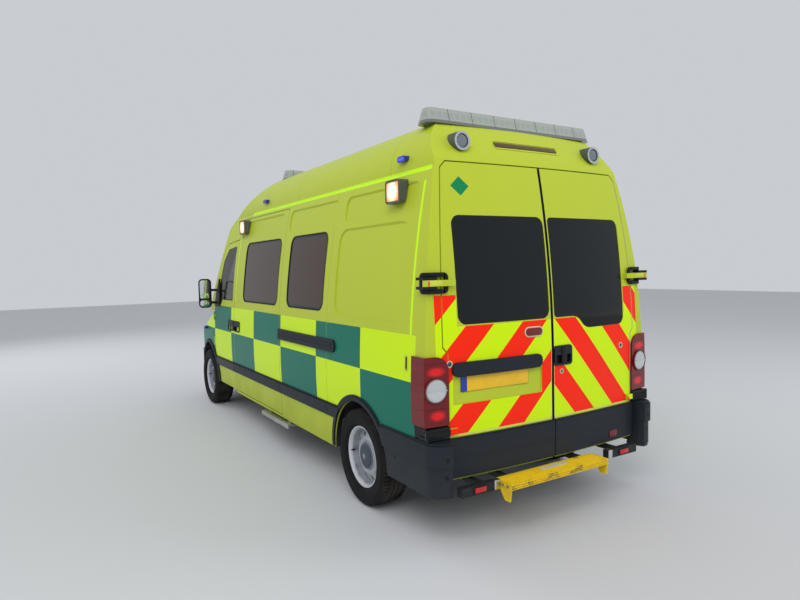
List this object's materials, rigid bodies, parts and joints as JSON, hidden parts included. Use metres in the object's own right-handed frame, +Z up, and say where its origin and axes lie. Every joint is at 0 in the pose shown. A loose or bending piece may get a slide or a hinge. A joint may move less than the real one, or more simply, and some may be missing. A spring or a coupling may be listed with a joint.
{
  "type": "ambulance",
  "caption": "Long, high-roofed van ambulance with hollow cab and load space, opening cab doors, rear doors and bonnet, steered front wheels and warning lamps.",
  "frame": {"origin": "on the ground under the middle of the overall length and width", "axes": "+X forwards, +Y to the vehicle's left, +Z up"},
  "size_m": [6.035, 2.364, 2.684],
  "materials": {
    "paint": "gloss fluorescent yellow",
    "black_plastic": "satin black",
    "grey_plastic": "grained dark grey",
    "clear_lens": "clear",
    "red_lens": "gloss red",
    "blue_lens": "gloss blue",
    "glass": "clear",
    "dark_glass": "tinted",
    "step_paint": "worn yellow",
    "aluminium": "satin",
    "black_metal": "satin black",
    "inner_panel": "satin white",
    "dash_plastic": "grained",
    "seat_fabric": "woven",
    "cast_iron": "raw",
    "steel": "dull",
    "wheel_paint": "silver",
    "tyre": "matte"
  },
  "bodies": {
    "body": {"left_side_panel": "paint", "right_side_panel": "paint", "sliding_door": "paint", "roof_cap": "paint", "cab_frame": "paint", "wings": "paint", "scuttle": "black_plastic", "headlamps": "clear_lens", "grille": "black_plastic", "front_bumper": "grey_plastic", "windscreen": "glass", "side_glass": "dark_glass", "rear_bumpers": "grey_plastic", "tail_lamps": "red_lens", "side_mouldings": "grey_plastic", "rear_step": "step_paint", "side_step": "aluminium", "lightbars": "clear_lens", "blue_markers": "blue_lens", "work_lamps": "clear_lens", "rear_hinges": "black_metal", "front_suspension": "black_metal", "front_liners": "black_plastic", "rear_axle": "black_metal", "floor_pan": "black_metal", "firewall": "paint", "bulkhead": "inner_panel", "dashboard": "dash_plastic", "cab_seats": "seat_fabric", "engine": "cast_iron", "fuel_tank": "black_plastic", "exhaust": "steel"},
    "bonnet": {"bonnet": "paint"},
    "steering_wheel": {"steering_wheel": "dash_plastic"},
    "left_cab_door": {"left_cab_door": "paint", "left_cab_glass": "dark_glass", "left_door_trim": "black_plastic"},
    "left_rear_door": {"left_rear_door": "paint", "left_rear_glass": "dark_glass", "left_door_cladding": "grey_plastic"},
    "left_knuckle": {"left_knuckle": "cast_iron"},
    "right_cab_door": {"right_cab_door": "paint", "right_cab_glass": "dark_glass", "right_door_trim": "black_plastic"},
    "right_rear_door": {"right_rear_door": "paint", "right_rear_glass": "dark_glass", "right_door_cladding": "grey_plastic"},
    "right_knuckle": {"right_knuckle": "cast_iron"},
    "front_left_wheel": {"front_left_rim": "wheel_paint", "front_left_tyre": "tyre"},
    "front_right_wheel": {"front_right_rim": "wheel_paint", "front_right_tyre": "tyre"},
    "rear_left_wheel": {"rear_left_rim": "wheel_paint", "rear_left_tyre": "tyre"},
    "rear_right_wheel": {"rear_right_rim": "wheel_paint", "rear_right_tyre": "tyre"}
  },
  "joints": [
    {"name": "bonnet_hinge", "type": "hinge", "parent": "body", "child": "bonnet", "pos_m": [2.3105, 0, 1.158], "axis": [0, -1, 0], "range_deg": [0, 50]},
    {"name": "left_cab_door_hinge", "type": "hinge", "parent": "body", "child": "left_cab_door", "pos_m": [1.8365, 0.986, 0.95], "axis": [0, 0, -1], "range_deg": [0, 75]},
    {"name": "right_cab_door_hinge", "type": "hinge", "parent": "body", "child": "right_cab_door", "pos_m": [1.8365, -0.986, 0.95], "axis": [0, 0, 1], "range_deg": [0, 75]},
    {"name": "left_rear_door_hinge", "type": "hinge", "parent": "body", "child": "left_rear_door", "pos_m": [-2.7925, 0.985, 1.1], "axis": [0, 0, -1], "range_deg": [0, 180]},
    {"name": "right_rear_door_hinge", "type": "hinge", "parent": "body", "child": "right_rear_door", "pos_m": [-2.7925, -0.985, 1.1], "axis": [0, 0, 1], "range_deg": [0, 180]},
    {"name": "left_steer", "type": "hinge", "parent": "body", "child": "left_knuckle", "pos_m": [2.1705, 0.8, 0.2], "axis": [0, -0.1736, 0.9848], "range_deg": [-35, 35]},
    {"name": "right_steer", "type": "hinge", "parent": "body", "child": "right_knuckle", "pos_m": [2.1705, -0.8, 0.2], "axis": [0, 0.1736, 0.9848], "range_deg": [-35, 35]},
    {"name": "steering_wheel_turn", "type": "hinge", "parent": "body", "child": "steering_wheel", "pos_m": [1.5305, -0.42, 1.09], "axis": [-0.8, 0, 0.6], "range_deg": [-560, 560]},
    {"name": "front_left_spin", "type": "hinge", "parent": "left_knuckle", "child": "front_left_wheel", "pos_m": [2.1705, 0.875, 0.343], "axis": [0, 1, 0], "continuous": true},
    {"name": "front_right_spin", "type": "hinge", "parent": "right_knuckle", "child": "front_right_wheel", "pos_m": [2.1705, -0.875, 0.343], "axis": [0, 1, 0], "continuous": true},
    {"name": "rear_left_spin", "type": "hinge", "parent": "body", "child": "rear_left_wheel", "pos_m": [-1.9075, 0.8625, 0.343], "axis": [0, 1, 0], "continuous": true},
    {"name": "rear_right_spin", "type": "hinge", "parent": "body", "child": "rear_right_wheel", "pos_m": [-1.9075, -0.8625, 0.343], "axis": [0, 1, 0], "continuous": true}
  ],
  "couplings": [
    {"joint": "right_steer", "follows": "left_steer", "ratio": 1},
    {"joint": "steering_wheel_turn", "follows": "left_steer", "ratio": 16}
  ]
}
